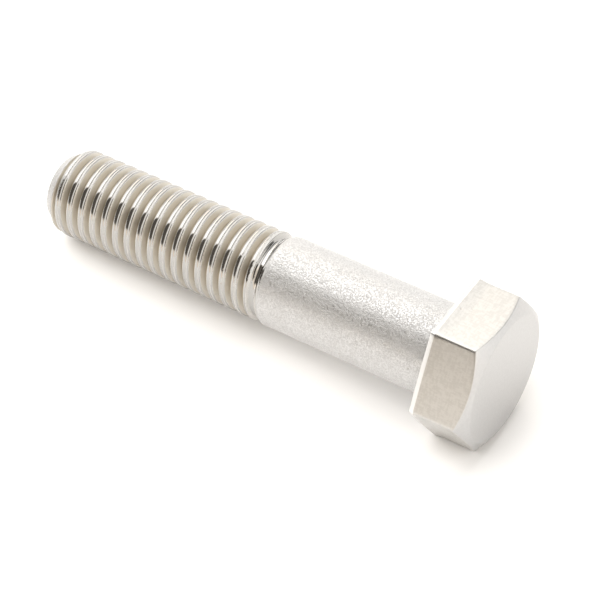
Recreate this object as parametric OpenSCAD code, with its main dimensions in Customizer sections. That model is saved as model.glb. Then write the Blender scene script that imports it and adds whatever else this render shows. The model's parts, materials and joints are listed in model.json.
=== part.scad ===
// Hex bolt with a partly threaded shank, forged and thread-rolled in one piece.
// The bolt lies along X. The head's bearing face is at x = 0, the head stands on +X,
// and the shank and thread run to -X. Two of the six flats face +Z and -Z.
// Sizes are in millimetres and angles in degrees.

/* [Head] */
// Distance between opposite flats
across_flats = 19.05; // [18.67:0.01:19.05]
// Height of the head above the bearing face
head_h = 7.7; // [7.67:0.01:8.2]
// Height of the hexagon's corners, where the rounding starts
corner_h = 6.35; // [6.0:0.05:7.0]
// Radius of the sphere that rounds the corners off towards the end face
crown_r = 19.2; // [17:0.1:22]
// How far the trimmed lip on the bearing side stands out from each flat
lip_out = 0.15; // [0.05:0.01:0.25]
// Height of the trimmed lip
lip_h = 0.55; // [0.3:0.05:0.8]
// Radius of the fillet under the head
fillet_r = 0.45; // [0.25:0.05:0.5]

/* [Shank] */
// Length from the bearing face to the tip
under_head_l = 62; // [61.9:0.05:63.5]
// Diameter of the plain shank
shank_d = 12.6; // [12.5:0.01:12.65]
// Length of the plain shank, up to the rounded shoulder beside the thread
plain_l = 25.6; // [20:0.1:30]

/* [Thread] */
// Diameter over the crests
crest_d = 12.4; // [12.37:0.01:12.5]
// Diameter at the bottom of the groove
root_d = 10.24; // [10.2:0.01:10.4]
// Distance from one crest to the next
pitch = 1.954; // [1.94:0.001:1.97]
// Width of the flat left on each crest
crest_w = 0.45; // [0.4:0.01:0.5]
// Included angle of the groove
groove_angle = 60; // [55:1:60]
// Angle around the bolt, from +Y towards +Z, where the groove leaves the tip
start_angle = 167; // [0:1:359]
// Diameter of the chamfered tip
tip_d = 9.5; // [9.0:0.1:10.0]
// Length of the tip's chamfer
tip_l = 2.5; // [1.5:0.1:3.0]

/* [Run-out] */
// Length of the rounded shoulder between the neck and the plain shank
shoulder_l = 1.2; // [0.9:0.05:1.4]
// Diameter of the neck between the thread and the plain shank
neck_d = 11.3; // [11.0:0.05:11.5]
// Length of the neck's straight part
neck_l = 0.35; // [0.2:0.05:0.6]
// Turns over which the last groove gets shallower until it is gone
fade_turns = 1; // [0.5:0.05:1.5]

/* [Quality] */
// Straight steps in one turn of the groove
steps = 36; // [18:2:40]

/* [Hidden] */
$fn = 96;
steel = [0.74, 0.73, 0.71];

flat_r = across_flats / 2;
corner_r = flat_r / cos(30);
lip_corner_r = (flat_r + lip_out) / cos(30);
crown_x = corner_h - sqrt(crown_r * crown_r - corner_r * corner_r);

shank_r = shank_d / 2;
crest_r = crest_d / 2;
root_r = root_d / 2;
neck_r = neck_d / 2;
tip_r = tip_d / 2;
tip_x = -under_head_l;
neck_x = -plain_l - shoulder_l;
inside_head = 1;
thread_end_slope = 55;
thread_end_x = neck_x - neck_l - (crest_r - neck_r) / tan(thread_end_slope);

// The cutter reaches past the shank's radius, and its two walls keep the groove's slope.
// Where the groove has faded out, its bottom is just outside the shank.
cutter_clear = 0.15;
faded_clear = 0.05;
cutter_r = shank_r + cutter_clear;
faded_r = shank_r + faded_clear;
wall_slope = tan(groove_angle / 2);
root_w = pitch - crest_w - 2 * (crest_r - root_r) * wall_slope;

// Turns along the groove, counted from where its middle leaves the tip. It starts in the
// air in front of the tip, and its middle ends just short of the plain shank.
lead_in = 1.2;
end_gap = 0.25;
groove_end_x = -plain_l - end_gap;
travel = (groove_end_x - tip_x) / pitch;
n_steps = ceil((lead_in + travel) * steps);

function at_step(i) = -lead_in + (lead_in + travel) * i / n_steps;
function faded(turn) = max(0, 1 - (travel - turn) / fade_turns);
function bottom_r(turn) = root_r + faded(turn) * (faded_r - root_r);
function half_w(r) = root_w / 2 + (r - root_r) * wall_slope;

// A point of the cutter's section, side -1 towards the tip and 1 towards the head.
function on_groove(turn, r, side) = [
    tip_x + pitch * turn + side * half_w(r),
    r * cos(360 * turn + start_angle),
    r * sin(360 * turn + start_angle)
];

function section(turn) = [
    on_groove(turn, cutter_r, -1),
    on_groove(turn, bottom_r(turn), -1),
    on_groove(turn, bottom_r(turn), 1),
    on_groove(turn, cutter_r, 1)
];

// Quarter rounds from radius r_a at x_a to radius r_b at x_b, as [radius, x] points.
// A bulging one ends along the bolt's axis, and a hollow one starts along it.
function bulging(r_a, x_a, r_b, x_b, n = 6) = [
    for (i = [0 : n])
        [r_a + (r_b - r_a) * sin(90 * i / n), x_b + (x_a - x_b) * cos(90 * i / n)]
];
function hollow(r_a, x_a, r_b, x_b, n = 6) = [
    for (i = [0 : n])
        [r_b + (r_a - r_b) * cos(90 * i / n), x_a + (x_b - x_a) * sin(90 * i / n)]
];

// The shank's outline from the tip to just inside the head.
shank_outline = concat(
    [
        [0, tip_x],
        [tip_r, tip_x],
        [crest_r, tip_x + tip_l],
        [crest_r, thread_end_x],
        [neck_r, neck_x - neck_l]
    ],
    bulging(neck_r, neck_x, shank_r, -plain_l),
    hollow(shank_r, -fillet_r, shank_r + fillet_r, 0),
    [
        [shank_r + fillet_r, inside_head],
        [0, inside_head]
    ]
);

// Turns an outline given as [radius, x] points about the bolt's axis.
module turned(outline) {
    rotate([0, 90, 0])
        rotate_extrude()
            polygon(outline);
}

// Hexagon from x = 0 to x = h, with one flat facing +Z.
module hexagon(r, h) {
    rotate([0, 90, 0])
        cylinder(r = r, h = h, $fn = 6);
}

module head() {
    rotate([30, 0, 0])
        intersection() {
            union() {
                hexagon(corner_r, head_h);
                hexagon(lip_corner_r, lip_h);
            }
            translate([crown_x, 0, 0])
                rotate([0, 90, 0])
                    sphere(r = crown_r);
        }
}

module thread_groove() {
    last = 4 * n_steps;
    polyhedron(
        points = [for (i = [0 : n_steps]) each section(at_step(i))],
        faces = concat(
            [[0, 1, 2, 3]],
            [
                for (i = [0 : n_steps - 1], k = [0 : 3])
                    [4 * i + k, 4 * i + 4 + k, 4 * i + 4 + (k + 1) % 4, 4 * i + (k + 1) % 4]
            ],
            [[last + 3, last + 2, last + 1, last]]
        ),
        convexity = 20
    );
}

module hex_bolt() {
    color(steel) {
        head();
        difference() {
            turned(shank_outline);
            thread_groove();
        }
    }
}

hex_bolt();
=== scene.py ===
"""A stainless hex bolt lying on a white studio floor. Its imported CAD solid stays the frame,
and one finer mesh with rounded edges, crests and roots stands for it."""
import json
import math

import bmesh
import bpy
import numpy as np
from mathutils import Matrix, Vector


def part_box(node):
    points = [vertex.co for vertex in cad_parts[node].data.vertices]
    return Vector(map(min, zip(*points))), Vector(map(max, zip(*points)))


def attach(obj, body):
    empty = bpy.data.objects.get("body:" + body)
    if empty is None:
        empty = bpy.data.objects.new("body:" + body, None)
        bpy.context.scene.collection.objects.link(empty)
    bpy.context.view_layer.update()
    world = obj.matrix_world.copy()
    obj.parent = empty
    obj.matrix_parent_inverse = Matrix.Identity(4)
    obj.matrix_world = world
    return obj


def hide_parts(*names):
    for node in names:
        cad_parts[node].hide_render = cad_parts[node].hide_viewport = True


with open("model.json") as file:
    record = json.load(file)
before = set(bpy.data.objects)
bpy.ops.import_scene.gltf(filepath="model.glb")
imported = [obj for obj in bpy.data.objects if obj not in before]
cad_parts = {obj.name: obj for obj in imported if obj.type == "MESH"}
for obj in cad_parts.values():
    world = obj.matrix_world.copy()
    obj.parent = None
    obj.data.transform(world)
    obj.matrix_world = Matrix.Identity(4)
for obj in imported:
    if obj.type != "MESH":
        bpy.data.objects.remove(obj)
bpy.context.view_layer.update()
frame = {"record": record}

NODE = "hex_bolt"
MM = 0.001

# Sizes are in millimetres, and angles round the bolt run from +Y towards +Z. The packed
# model gives the main sizes, and the rest are the rounded edges and small steps that the
# CAD solid leaves out.
low, high = (np.array(corner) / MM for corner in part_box(NODE))
mounts = {mount["name"]: mount for mount in frame["record"]["mounts"]}
TIP_X = low[0]
HEAD_TOP = high[0]
SHANK_R = mounts["shank"]["dims"]["r_mm"]
CREST_R = mounts["thread"]["dims"]["r_mm"]
FLAT_R = mounts["wrench_flat_top"]["pos_m"][2] / MM
LIP_R = high[2]

# The head: its fillet, how far a flat's edges lie under its middle, the widths over which
# the corners of the flats and of the lip are rounded, and how far inside the flats the
# bearing face ends
SIXTH = math.pi / 3
FILLET = 0.45
PILLOW = 0.1
CORNER_ROUND = 0.25
LIP_ROUND = 0.5
BEARING_INSET = 0.42

# The cone that cuts the head's corners off, from their height to the rim of the end face,
# and how deep the small chips along the corners are
CORNER_H = 6.35
CHAMFER = math.tan(math.radians(31))
CORNER_R = FLAT_R / math.cos(SIXTH / 2)
FACE_R = CORNER_R - (HEAD_TOP - CORNER_H) / CHAMFER
CONE_END_R = FACE_R + 0.12
CHIP_DEPTH = 0.035

# The rollover on the bearing side: x, and how far out between the flat and the lip.
LIP_PROFILE = (
    (0.02, -1.3),
    (0.06, -0.75),
    (0.12, -0.5),
    (0.3, 0.0),
    (0.5, 0.55),
    (0.64, 0.93),
    (0.7, 1.0),
    (0.76, 1.0),
    (0.9, 0.9),
    (1.4, 0.5),
    (2.4, 0.0),
)

# The groove: where it leaves the tip, the radius of its bottom, the width of the crests, the
# slope of its walls, the width of its bottom, and the widths over which corners are rounded
PITCH = 25.4 / 13
GROOVE_START = math.radians(167)
ROOT_R = 5.28
LAND = 0.85
WALL = math.tan(math.radians(28))
ROOT_W = PITCH - LAND - 2 * (CREST_R - ROOT_R) * WALL
CREST_ROUND = 0.07
ROOT_ROUND = 0.12

# The seam that rolling leaves on each crest, measured from the crest's middle towards the
# head, and where and how tightly the hump on its other side rounds off
SEAM_START = 0.0
SEAM_FLOOR = 0.11
SEAM_END = 0.31
SEAM_DEPTH = 0.06
HUMP_FALL = -0.12
HUMP_R = 0.6

# The tip's outline, as distances from its face and radii
TIP_OUTLINE = ((0, 4.75), (0.7, 5.13), (1.9, CREST_R))

# The run-out: the slope from the last crest down to the neck, the neck, where the plain
# shank starts, and the groove's turns, the radius of its bottom after them, and where the
# helical rows of points end
LAST_CREST_L = 0.45
NECK_L = 0.35
NECK_X = -26.8
NECK_R = 5.65
PLAIN_X = -25.6
TRAVEL = (PLAIN_X - 0.25 - TIP_X) / PITCH
FADED_R = SHANK_R + 0.05
ROWS_END_X = PLAIN_X + 0.9


def smooth_min(a, b, k):
    """The smaller of a and b, with the corner between them rounded over k."""
    h = np.clip(0.5 + 0.5 * (b - a) / k, 0, 1)
    return b * (1 - h) + a * h - k * h * (1 - h)


def smooth_max(a, b, k):
    """The larger of a and b, with the corner between them rounded over k."""
    return -smooth_min(-a, -b, k)


def smoothstep(a, b, x):
    """0 at a and 1 at b, rising smoothly between them. It falls where b is less than a."""
    t = np.clip((x - a) / (b - a), 0, 1)
    return t * t * (3 - 2 * t)


def wander(u, seed):
    """A smooth wandering value between -1 and 1, the same in every run."""
    waves = np.sin(1.3 * u + seed) + np.sin(3.1 * u + 2.3 * seed) + np.sin(7.7 * u + 0.7 * seed)
    return waves / 3


# The bolt's mesh


def column_angles():
    """Angles round the bolt, closer together at the head's corners."""
    even = np.arange(0, 360, 3)
    corners = [c + s for c in range(0, 360, 60) for s in (-1.6, -0.8, 0.8, 1.6)]
    return np.radians(np.sort(np.concatenate([even, np.mod(corners, 360)])))


def blank_radius(x):
    """Outline that the groove is cut into: tip chamfer, crests, neck and rounded shoulder."""
    t = np.linspace(0, math.pi / 2, 9)
    neck_start = NECK_X - NECK_L
    xs = [TIP_X + distance for distance, _ in TIP_OUTLINE]
    rs = [radius for _, radius in TIP_OUTLINE]
    xs += [neck_start - LAST_CREST_L, neck_start]
    rs += [CREST_R, NECK_R]
    xs = np.concatenate([xs, PLAIN_X + (NECK_X - PLAIN_X) * np.cos(t), [0]])
    rs = np.concatenate([rs, NECK_R + (SHANK_R - NECK_R) * np.sin(t), [SHANK_R]])
    return np.interp(x, xs, rs)


def thread_place(x, angle):
    """The groove turn that is nearest to x at this angle, and the distances from its middle
    and from the middle of the nearest crest."""
    start = (angle - GROOVE_START) / (2 * math.pi)
    turn = np.round((x - TIP_X) / PITCH - start) + start
    off = x - TIP_X - PITCH * turn
    across = off - np.where(off > 0, PITCH / 2, -PITCH / 2)
    return turn, off, across


def seam_place(turn, across):
    """Place across the seam: 0 at its steep side, 1 at its bottom, 2 where it has risen to
    the second hump. It wanders a little, and it is wider where the thread runs out."""
    u = 2 * math.pi * turn
    run_out = smoothstep(TRAVEL - 2.6, TRAVEL - 1, turn)
    shifted = across - 0.02 * wander(u, 1.0) + 0.12 * run_out
    wider = 1 + 0.15 * wander(u, 4.0) + run_out
    fall = (shifted - SEAM_START) / (SEAM_FLOOR - SEAM_START)
    rise = 1 + (shifted - SEAM_FLOOR) / ((SEAM_END - SEAM_FLOOR) * wider)
    return np.clip(np.where(shifted < SEAM_FLOOR, fall, rise), 0, 2)


def crest_drop(turn, across):
    """How far the crest lies under its top: a rounded hump on the tip's side, then the seam."""
    place = seam_place(turn, across)
    seam = smoothstep(0, 1, place) * smoothstep(2, 1, place)
    hump = np.maximum(0, HUMP_FALL - across) ** 2 / (2 * HUMP_R)
    return SEAM_DEPTH * seam + hump


def thread_radius(x, angle):
    """Radius of the threaded end. The crests are plain next to the end face and the neck, and
    the groove's bottom rises out of the steel over the last turn."""
    turn, off, across = thread_place(x, angle)
    fade = np.maximum(0, 1 - (TRAVEL - turn))
    bottom = ROOT_R + fade * (FADED_R - ROOT_R)
    wall = ROOT_R + (np.abs(off) - ROOT_W / 2) / WALL
    groove = smooth_max(bottom, wall, ROOT_ROUND)
    shaped = smoothstep(TIP_X, TIP_X + 1, x) * smoothstep(NECK_X - 0.7, NECK_X - 1.3, x)
    blank = blank_radius(x) - crest_drop(turn, across) * shaped
    return smooth_min(blank, groove, CREST_ROUND)


def hexagon_radius(angle, flat_r, rounding=CORNER_ROUND):
    """Distance from the axis to a hexagon with slightly rounded corners and full flats."""
    part = np.mod(angle, SIXTH)
    a = flat_r / np.cos(part - SIXTH / 2)
    b = flat_r / np.cos(part + SIXTH / 2)
    c = flat_r / np.cos(part - 1.5 * SIXTH)
    pillow = PILLOW * ((part - SIXTH / 2) / (SIXTH / 2)) ** 2
    return smooth_min(smooth_min(a, b, rounding), c, rounding) - pillow


def thread_rows(angles):
    """Rows of x that follow the helix, so that crests and roots always have points, and how
    many rows one turn has. They lie at these distances from the groove's middle: up both
    walls, then towards the tip over a crest's seam and towards the head over a hump."""
    flank = [0.05, 0.1, 0.16, 0.3, 0.45, 0.51, 0.55, 0.6]
    seam = [0.66, 0.72, 0.755, 0.79, 0.825, 0.86, 0.895, 0.93]
    hump = [0.68, 0.8, 0.89]
    below = [-v for v in reversed(flank + seam)]
    offsets = np.array([-PITCH / 2] + below + [0] + flank + hump)
    turns = np.arange(-2, math.ceil((ROWS_END_X - TIP_X) / PITCH) + 2)
    steps = (turns[:, None] * PITCH + offsets[None, :]).ravel()
    helix = TIP_X + PITCH * (angles - GROOVE_START) / (2 * math.pi)
    return np.clip(helix[None, :] + steps[:, None], TIP_X, ROWS_END_X), len(offsets)


class Skin:
    """Points and faces of one closed mesh, built up ring by ring."""

    def __init__(self, angles):
        self.angles = angles
        self.points = []
        self.faces = []
        self.count = 0

    def ring(self, x, r):
        """Adds a ring of points and returns the number of its first one."""
        n = len(self.angles)
        x = np.broadcast_to(x, n)
        r = np.broadcast_to(r, n)
        self.points.append(np.column_stack([x, r * np.cos(self.angles), r * np.sin(self.angles)]))
        self.count += n
        return self.count - n

    def join(self, a, b):
        """Quads between the rings that start at points a and b."""
        n = len(self.angles)
        for i in range(n):
            j = (i + 1) % n
            self.faces.append((a + i, a + j, b + j, b + i))

    def cap(self, a, x):
        """Triangles from the ring that starts at point a to a point on the axis."""
        centre = self.count
        self.points.append(np.array([[x, 0, 0]]))
        self.count += 1
        n = len(self.angles)
        for i in range(n):
            j = (i + 1) % n
            self.faces.append((a + i, a + j, centre))


def add_thread(skin):
    """The helical rows. A row continues from the last column into the first one, one turn of
    rows further on. Returns where the first and the last row start."""
    rows, per_turn = thread_rows(skin.angles)
    n = len(skin.angles)
    last = len(rows) - 1
    starts = [skin.ring(x, thread_radius(x, skin.angles)) for x in rows]
    for k in range(last):
        for i in range(n - 1):
            a = starts[k] + i
            b = starts[k + 1] + i
            skin.faces.append((b, b + 1, a + 1, a))
    for k in range(-per_turn, last):
        left = [starts[max(0, row)] + n - 1 for row in (k, k + 1)]
        right = [starts[min(last, row + per_turn)] for row in (k, k + 1)]
        skin.faces.append((left[1], right[1], right[0], left[0]))
    return starts[0], starts[-1]


def shank_rings():
    """The plain shank and the fillet under the head."""
    rings = [(x, SHANK_R) for x in (-8, -3, -1)]
    for t in np.linspace(0, math.pi / 2, 6):
        rings.append((-FILLET * (1 - math.sin(t)), SHANK_R + FILLET * (1 - math.cos(t))))
    return rings


def side_rings(angles, hexa, edge_x):
    """The bearing face, the rollover at its edge, and the flats with small chips at their
    corners, up to the worn edge at edge_x."""
    lip = hexagon_radius(angles, LIP_R, LIP_ROUND)
    from_corner = np.abs(np.mod(angles + SIXTH / 2, SIXTH) - SIXTH / 2)
    near_corner = smoothstep(0.06, 0.0, from_corner)
    rings = [(0, SHANK_R + 0.6 * (hexa - SHANK_R)), (0, hexa - BEARING_INSET)]
    for x, out in LIP_PROFILE:
        rings.append((x, hexa + out * (lip - hexa)))
    for part in np.arange(1, 13) / 13:
        x = LIP_PROFILE[-1][0] * (1 - part) + edge_x * part
        chip = CHIP_DEPTH * np.maximum(0, wander(2.6 * part, 5.0)) * near_corner
        rings.append((x, hexa - chip))
    rings.append((edge_x, hexa))
    return rings


def end_rings(hexa, cone_x, worn):
    """The edge between the flats and the cone, worn off to this width, the cone, and the end
    face with its own small edge."""
    rings = [
        (cone_x - worn * 0.1, hexa - worn * 0.25),
        (cone_x + worn * CHAMFER, hexa - worn),
    ]
    for part in (0.35, 0.7, 1):
        r = hexa - worn + part * (CONE_END_R - hexa + worn)
        rings.append((HEAD_TOP - (r - FACE_R) * CHAMFER, r))
    rings.append((HEAD_TOP - 0.01, FACE_R))
    rings.append((HEAD_TOP, FACE_R - 0.15))
    rings += [(HEAD_TOP, r) for r in (7.5, 6, 4.5, 3, 1.5)]
    return rings


def add_head(skin):
    """Rings from the plain shank to the middle of the end face. Returns where they start."""
    hexa = hexagon_radius(skin.angles, FLAT_R)
    cone_x = CORNER_H + (CORNER_R - hexa) * CHAMFER
    worn = 0.06 + 0.04 * wander(9 * skin.angles, 2.0)
    rings = shank_rings() + side_rings(skin.angles, hexa, cone_x - worn)
    rings += end_rings(hexa, cone_x, worn)
    return [skin.ring(x, r) for x, r in rings]


def bolt_mesh():
    """The whole bolt from the middle of the tip's face to the middle of the head's end face."""
    skin = Skin(column_angles())
    first, last = add_thread(skin)
    tip = [skin.ring(TIP_X, r) for r in (1.6, 3.2, 4.6)]
    head = add_head(skin)
    for rings in (tip + [first], [last] + head):
        for a, b in zip(rings, rings[1:]):
            skin.join(a, b)
    skin.cap(tip[0], TIP_X)
    skin.cap(head[-1], HEAD_TOP)
    mesh = bpy.data.meshes.new("bolt_skin")
    points = np.vstack(skin.points) * MM
    mesh.from_pydata(points.tolist(), [], skin.faces)
    mesh.validate()
    return mesh


def clean(mesh):
    """Merges the points that the clipping put on top of each other, and turns all faces
    outwards."""
    work = bmesh.new()
    work.from_mesh(mesh)
    bmesh.ops.remove_doubles(work, verts=work.verts, dist=1e-7)
    bmesh.ops.dissolve_degenerate(work, edges=work.edges, dist=1e-7)
    bmesh.ops.recalc_face_normals(work, faces=work.faces)
    work.to_mesh(mesh)
    work.free()


def thread_masks(x, r, angle):
    """How deep in the groove, how polished by rolling, the rough seam, and the crests' tip-side
    edge where a highlight is painted.
    """
    turn, _, across = thread_place(x, angle)
    threaded = smoothstep(PLAIN_X - 0.2, PLAIN_X - 0.8, x) * smoothstep(TIP_X, TIP_X + 0.3, x)
    depth = np.clip((blank_radius(x) - r) / (CREST_R - ROOT_R), 0, 1) * threaded
    crest = threaded * smoothstep(0.22, 0.1, depth) * smoothstep(TIP_X + 2.0, TIP_X + 3.0, x)
    neck = smoothstep(NECK_X + 0.15, NECK_X - 0.15, x) * smoothstep(NECK_X - 1.6, NECK_X - 0.8, x)
    place = seam_place(turn, across)
    seam = crest * smoothstep(0.7, 1, place) * smoothstep(1.95, 1.75, place)
    # The crests' tip-side edge, where a painted highlight stands in for the bright line that this
    # edge reflects
    painted_edge_highlight = crest * smoothstep(-0.3, -0.38, across)
    burnish = np.maximum(crest, neck) * (1 - seam)
    return {"depth": depth, "burnish": burnish, "seam": seam, "painted_edge_highlight": painted_edge_highlight}


def head_masks(x, r, angle):
    """The whole head, its cone and end face, and the rolled lip."""
    head = smoothstep(-0.1, 0.1, x)
    cone_x = CORNER_H + (CORNER_R - hexagon_radius(angle, FLAT_R)) * CHAMFER
    end = smoothstep(cone_x - 0.04, cone_x + 0.02, x)
    lip = head * smoothstep(0.74, 0.7, x) * smoothstep(SHANK_R + 1, SHANK_R + 2, r)
    return {"head": head, "end": end, "lip": lip}


def paint_masks(mesh):
    """Stores the masks that the steel's nodes read, one value from 0 to 1 at each point."""
    points = np.array([v.co for v in mesh.vertices]) / MM
    x = points[:, 0]
    r = np.hypot(points[:, 1], points[:, 2])
    angle = np.arctan2(points[:, 2], points[:, 1])
    masks = thread_masks(x, r, angle) | head_masks(x, r, angle)
    for name, values in masks.items():
        attribute = mesh.attributes.new(name, "FLOAT", "POINT")
        attribute.data.foreach_set("value", values.astype(np.float32))


def make_bolt():
    mesh = bolt_mesh()
    clean(mesh)
    mesh.shade_smooth()
    paint_masks(mesh)
    bolt = bpy.data.objects.new("bolt_skin", mesh)
    bpy.context.scene.collection.objects.link(bolt)
    return bolt


# Camera and floor


def make_camera():
    """A long lens, level with the floor, above the front right of the bolt."""
    azimuth, elevation, roll = (math.radians(v) for v in (36.30, 45.58, -3.98))
    target = Vector((-23.56, 0, 0)) * MM
    distance = 279.8 * MM
    level = math.cos(elevation)
    back = Vector((math.sin(azimuth) * level, -math.cos(azimuth) * level, math.sin(elevation)))
    right = Vector((0, 0, 1)).cross(back).normalized()
    up = back.cross(right)
    across = right * math.cos(roll) + up * math.sin(roll)
    upward = up * math.cos(roll) - right * math.sin(roll)
    data = bpy.data.cameras.new("camera")
    data.lens = 127.36
    data.sensor_width = 36
    data.shift_x = 0.0028
    data.shift_y = -0.02
    data.clip_start = 0.01
    data.clip_end = 20
    camera = bpy.data.objects.new("camera", data)
    turn = Matrix((across, upward, back)).transposed()
    camera.matrix_world = Matrix.Translation(target + back * distance) @ turn.to_4x4()
    bpy.context.scene.collection.objects.link(camera)
    bpy.context.scene.camera = camera


def make_floor():
    """The bolt rests on the head's lip and on the crest next to the tip, so the floor slopes
    a little in the bolt's own frame."""
    first_crest_x = TIP_X + 2.3
    slope = (LIP_R - CREST_R) / first_crest_x
    gap = 0.02
    half = 1.8
    points = []
    for x, y in ((-1, -1), (1, -1), (1, 1), (-1, 1)):
        points.append((x * half, y * half, -(LIP_R + gap) * MM + slope * x * half))
    mesh = bpy.data.meshes.new("floor")
    mesh.from_pydata(points, [], [(0, 1, 2, 3)])
    floor = bpy.data.objects.new("floor", mesh)
    bpy.context.scene.collection.objects.link(floor)
    material = bpy.data.materials.new("floor")
    material.use_nodes = True
    shader = material.node_tree.nodes["Principled BSDF"]
    shader.inputs["Base Color"].default_value = (0.95, 0.945, 0.94, 1)
    shader.inputs["Roughness"].default_value = 0.9
    shader.inputs["Specular IOR Level"].default_value = 0.1
    mesh.materials.append(material)


# Nodes


class Nodes:
    """Short ways to add linked nodes to one tree. A value is a number or another node's
    output, and a colour is three numbers or another node's output."""

    def __init__(self, tree):
        self.tree = tree

    def feed(self, socket, value):
        if isinstance(value, tuple):
            socket.default_value = (*value, 1)
        elif isinstance(value, (int, float)):
            socket.default_value = value
        else:
            self.tree.links.new(value, socket)

    def maths(self, operation, *values):
        node = self.tree.nodes.new("ShaderNodeMath")
        node.operation = operation
        for socket, value in zip(node.inputs, values):
            self.feed(socket, value)
        return node.outputs[0]

    def add(self, a, b):
        return self.maths("ADD", a, b)

    def subtract(self, a, b):
        return self.maths("SUBTRACT", a, b)

    def multiply(self, a, b):
        return self.maths("MULTIPLY", a, b)

    def smaller(self, a, b):
        return self.maths("MINIMUM", a, b)

    def larger(self, a, b):
        return self.maths("MAXIMUM", a, b)

    def without(self, value, share, amount=1.0):
        """value, taken down by amount where share is 1."""
        return self.multiply(value, self.subtract(1.0, self.multiply(share, amount)))

    def blend(self, share, a, b):
        """The number a where share is 0 and b where it is 1."""
        return self.subtract(a, self.multiply(self.subtract(a, b), share))

    def ramp(self, value, a, b, start=0.0, end=1.0):
        """Smooth step of value from a to b, as a number from start to end."""
        node = self.tree.nodes.new("ShaderNodeMapRange")
        node.interpolation_type = "SMOOTHSTEP"
        self.feed(node.inputs["Value"], value)
        for name, number in (("From Min", a), ("From Max", b), ("To Min", start), ("To Max", end)):
            node.inputs[name].default_value = number
        return node.outputs[0]

    def mix(self, share, a, b):
        """The colour a where share is 0 and b where it is 1."""
        node = self.tree.nodes.new("ShaderNodeMix")
        node.data_type = "RGBA"
        for socket, value in ((node.inputs[0], share), (node.inputs[6], a), (node.inputs[7], b)):
            self.feed(socket, value)
        return node.outputs[2]

    def axes(self, vector):
        parts = self.tree.nodes.new("ShaderNodeSeparateXYZ")
        self.tree.links.new(vector, parts.inputs[0])
        return parts.outputs

    def place(self, kind):
        return self.tree.nodes.new("ShaderNodeTexCoord").outputs[kind]

    def mask(self, name):
        node = self.tree.nodes.new("ShaderNodeAttribute")
        node.attribute_name = name
        return node.outputs["Fac"]

    def noise(self, scale, detail, stretch=(1, 1, 1), rough=0.5):
        mapping = self.tree.nodes.new("ShaderNodeMapping")
        mapping.inputs["Scale"].default_value = stretch
        self.tree.links.new(self.place("Object"), mapping.inputs[0])
        node = self.tree.nodes.new("ShaderNodeTexNoise")
        node.inputs["Scale"].default_value = scale
        node.inputs["Detail"].default_value = detail
        node.inputs["Roughness"].default_value = rough
        self.tree.links.new(mapping.outputs[0], node.inputs["Vector"])
        return node.outputs["Fac"]

    def spots(self, scale, size, share):
        """Round spots in the cells of a random grid, apart from this share of them."""
        node = self.tree.nodes.new("ShaderNodeTexVoronoi")
        node.inputs["Scale"].default_value = scale
        self.tree.links.new(self.place("Object"), node.inputs["Vector"])
        chosen = self.maths("GREATER_THAN", self.axes(node.outputs["Color"])[0], share)
        return self.multiply(chosen, self.ramp(node.outputs["Distance"], size, size * 0.4))


# Light. A direction is given by x, y and z from -1 to 1, and by over, which is its angle in
# radians from the horizon behind the bolt (0) past straight up to the horizon in front.


def panel_light(nodes, x, z, over):
    """Pale walls behind the bolt, dimmer low down on the tip's side, a brighter panel
    overhead, and pale walls in front."""
    light = nodes.ramp(over, 1.0, 1.14, 1.45, 2.5)
    low_left = nodes.multiply(nodes.ramp(x, -0.5, -0.7), nodes.ramp(z, 0.6, 0.4))
    light = nodes.without(light, low_left, 0.4)
    return nodes.smaller(light, nodes.ramp(over, 1.96, 2.2, 3.0, 1.5))


def dark_room(nodes, x, z, front):
    """The unlit upper part of the room, in front and past the head. Its lower edge comes down
    towards the tip's side, and it is nearly gone straight out from the head."""
    past_head = nodes.ramp(x, 0.0, 0.25)
    tip_side = nodes.smaller(nodes.add(x, 0.41), 0.0)
    height = nodes.subtract(z, nodes.multiply(tip_side, 0.52))
    dark = nodes.multiply(nodes.larger(front, past_head), nodes.ramp(height, 0.2, 0.3))
    return nodes.multiply(dark, nodes.ramp(x, 0.45, 0.7, 1.0, 0.2))


def window_shape(nodes, x, over):
    """A soft-edged window behind the bolt, on the tip's side."""
    window = nodes.multiply(nodes.ramp(x, -0.42, -0.48), nodes.ramp(x, -0.72, -0.62))
    window = nodes.multiply(window, nodes.ramp(over, 0.3, 0.5))
    return nodes.multiply(window, nodes.ramp(over, 1.15, 1.0))


def make_world():
    """The room that the steel mirrors. The window and the front are warmer than the rest."""
    world = bpy.data.worlds.new("studio")
    bpy.context.scene.world = world
    world.use_nodes = True
    tree = world.node_tree
    nodes = Nodes(tree)
    x, y, z = nodes.axes(nodes.place("Generated"))
    over = nodes.maths("ARCTAN2", z, y)
    front = nodes.ramp(over, 1.84, 1.96)
    window = window_shape(nodes, x, over)
    light = nodes.without(panel_light(nodes, x, z, over), dark_room(nodes, x, z, front))
    light = nodes.add(light, nodes.multiply(window, 1.6))
    tint = nodes.mix(nodes.larger(front, window), (1, 0.99, 0.97), (1, 0.9, 0.78))
    background = tree.nodes["Background"]
    tree.links.new(tint, background.inputs["Color"])
    tree.links.new(nodes.add(light, 0.15), background.inputs["Strength"])


def make_lamp():
    """A wide soft lamp over the bolt. It lights the floor, while the steel mirrors only the
    room, so the floor can be as white as in a real studio."""
    data = bpy.data.lights.new("lamp", "AREA")
    data.shape = "DISK"
    data.size = 0.7
    data.energy = 5.4
    data.color = (1, 0.99, 0.975)
    lamp = bpy.data.objects.new("lamp", data)
    place = Vector((-0.2, -0.5, 0.85))
    aim = place.to_track_quat("Z", "Y").to_matrix().to_4x4()
    lamp.matrix_world = Matrix.Translation(place) @ aim
    lamp.visible_glossy = False
    bpy.context.scene.collection.objects.link(lamp)


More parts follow.
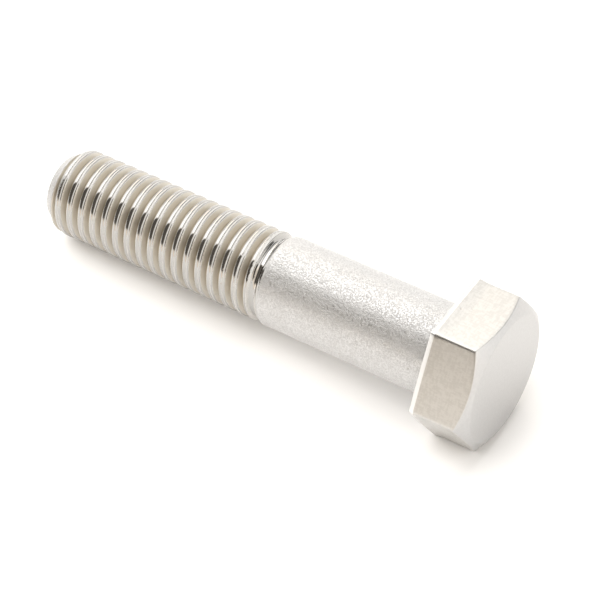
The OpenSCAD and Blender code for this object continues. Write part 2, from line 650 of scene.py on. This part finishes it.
def make_backdrop():
    """A pale shell that only the camera sees, so that every view has the same background."""
    work = bmesh.new()
    bmesh.ops.create_uvsphere(work, u_segments=32, v_segments=16, radius=2.6)
    mesh = bpy.data.meshes.new("backdrop")
    work.to_mesh(mesh)
    work.free()
    shell = bpy.data.objects.new("backdrop", mesh)
    bpy.context.scene.collection.objects.link(shell)
    for kind in ("diffuse", "glossy", "transmission", "shadow", "volume_scatter"):
        setattr(shell, "visible_" + kind, False)
    material = bpy.data.materials.new("backdrop")
    material.use_nodes = True
    tree = material.node_tree
    tree.nodes.clear()
    glow = tree.nodes.new("ShaderNodeEmission")
    out = tree.nodes.new("ShaderNodeOutputMaterial")
    glow.inputs["Strength"].default_value = 1.05
    tree.links.new(glow.outputs[0], out.inputs["Surface"])
    mesh.materials.append(material)


# The steel: satin on the shank and the head, matt in the groove, burnished where the rolls
# pressed the crests


def steel_masks(nodes):
    """The mesh's own masks, and the groove, which is matt and has painted shade."""
    names = ("depth", "burnish", "seam", "painted_edge_highlight", "head", "end", "lip")
    masks = {name: nodes.mask(name) for name in names}
    masks["groove"] = nodes.without(nodes.ramp(masks["depth"], 0.03, 0.2), masks["burnish"])
    return masks


def steel_textures(nodes):
    """Clouds and grain of the satin steel, the flats' crossed tool marks, and pits."""
    along = nodes.noise(3600, 2.0, stretch=(0.3, 1, 1))
    across = nodes.noise(3600, 2.0, stretch=(1, 0.3, 0.3))
    return {
        "cloud": nodes.ramp(nodes.noise(2600, 5.0, rough=0.7), 0.35, 0.65),
        "grain": nodes.ramp(nodes.noise(5200, 3.0, rough=0.7), 0.4, 0.58),
        "woven": nodes.ramp(nodes.add(along, across), 0.85, 1.15),
        "pits": nodes.spots(700, 0.16, 0.75),
    }


def scratches(nodes):
    """Fine scratches: thin bands where a stretched noise crosses its middle."""
    streaks = nodes.noise(700, 0.0, stretch=(1, 6, 1.5))
    thin = nodes.maths("ABSOLUTE", nodes.subtract(streaks, 0.5))
    few = nodes.ramp(nodes.noise(420, 1.0), 0.52, 0.6)
    return nodes.multiply(few, nodes.ramp(thin, 0.012, 0.004))


def steel_colour(nodes, masks, textures):
    """Each layer covers the ones before it where its mask is 1."""
    cloud = textures["cloud"]
    flats = nodes.mix(textures["woven"], (0.5, 0.487, 0.465), (0.55, 0.537, 0.515))
    end = nodes.mix(cloud, (0.53, 0.525, 0.52), (0.5, 0.495, 0.49))
    # The groove is painted darker and warmer than the shank, and darker and browner still towards
    # its root: painted shade, warmed as if by light bounced between its walls
    painted_root_shade = nodes.ramp(masks["depth"], 0.8, 0.97)
    layers = (
        (masks["head"], flats),
        (masks["end"], end),
        (masks["groove"], nodes.mix(painted_root_shade, (0.6, 0.565, 0.505), (0.48, 0.42, 0.34))),
        (masks["burnish"], (0.42, 0.41, 0.395)),
        # A pale colour on the rough seam, and the same colour as a painted highlight along the
        # crests' tip-side edge
        (nodes.larger(masks["seam"], masks["painted_edge_highlight"]), (0.64, 0.63, 0.61)),
        (masks["lip"], (0.8, 0.79, 0.775)),
        (nodes.multiply(textures["pits"], 0.5), (0.45, 0.42, 0.39)),
    )
    colour = nodes.mix(cloud, (0.66, 0.655, 0.65), (0.61, 0.605, 0.6))
    for mask, layer in layers:
        colour = nodes.mix(mask, colour, layer)
    return colour


def steel_roughness(nodes, masks, textures):
    """Speckled on the shank, even on the head and in the groove, polished on the crests."""
    rough = nodes.add(0.3, nodes.multiply(textures["grain"], 0.42))
    rough = nodes.blend(masks["head"], rough, 0.34)
    rough = nodes.blend(masks["groove"], rough, 0.45)
    rough = nodes.without(rough, masks["burnish"], 0.84)
    return nodes.add(rough, nodes.multiply(masks["seam"], 0.4))


def steel_height(nodes, masks, textures):
    """Grain where the steel isn't pressed, a faint weave on the head, and pits and scratches."""
    head, groove, burnish = (masks[name] for name in ("head", "groove", "burnish"))
    pressed = nodes.larger(burnish, nodes.multiply(groove, 0.6))
    grain = nodes.without(nodes.without(textures["grain"], pressed), head, 0.7)
    woven = nodes.multiply(nodes.multiply(textures["woven"], head), 0.1)
    height = nodes.subtract(nodes.add(grain, woven), nodes.multiply(textures["pits"], 1.5))
    not_shank = nodes.larger(head, nodes.larger(groove, burnish))
    return nodes.add(height, nodes.without(scratches(nodes), not_shank))


def steel_material():
    material = bpy.data.materials.new("stainless_steel")
    material.use_nodes = True
    tree = material.node_tree
    shader = tree.nodes["Principled BSDF"]
    nodes = Nodes(tree)
    masks = steel_masks(nodes)
    textures = steel_textures(nodes)
    metal = nodes.without(1.0, masks["seam"], 0.6)
    bump = tree.nodes.new("ShaderNodeBump")
    bump.inputs["Distance"].default_value = 0.000017
    bump.inputs["Strength"].default_value = 0.8
    tree.links.new(steel_height(nodes, masks, textures), bump.inputs["Height"])
    tree.links.new(steel_colour(nodes, masks, textures), shader.inputs["Base Color"])
    tree.links.new(steel_roughness(nodes, masks, textures), shader.inputs["Roughness"])
    tree.links.new(metal, shader.inputs["Metallic"])
    tree.links.new(bump.outputs[0], shader.inputs["Normal"])
    return material


bpy.context.scene.view_settings.view_transform = "Standard"
make_camera()
make_floor()
make_world()
make_lamp()
make_backdrop()
bolt = make_bolt()
bolt.data.materials.append(steel_material())
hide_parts(NODE)
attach(bolt, "root")
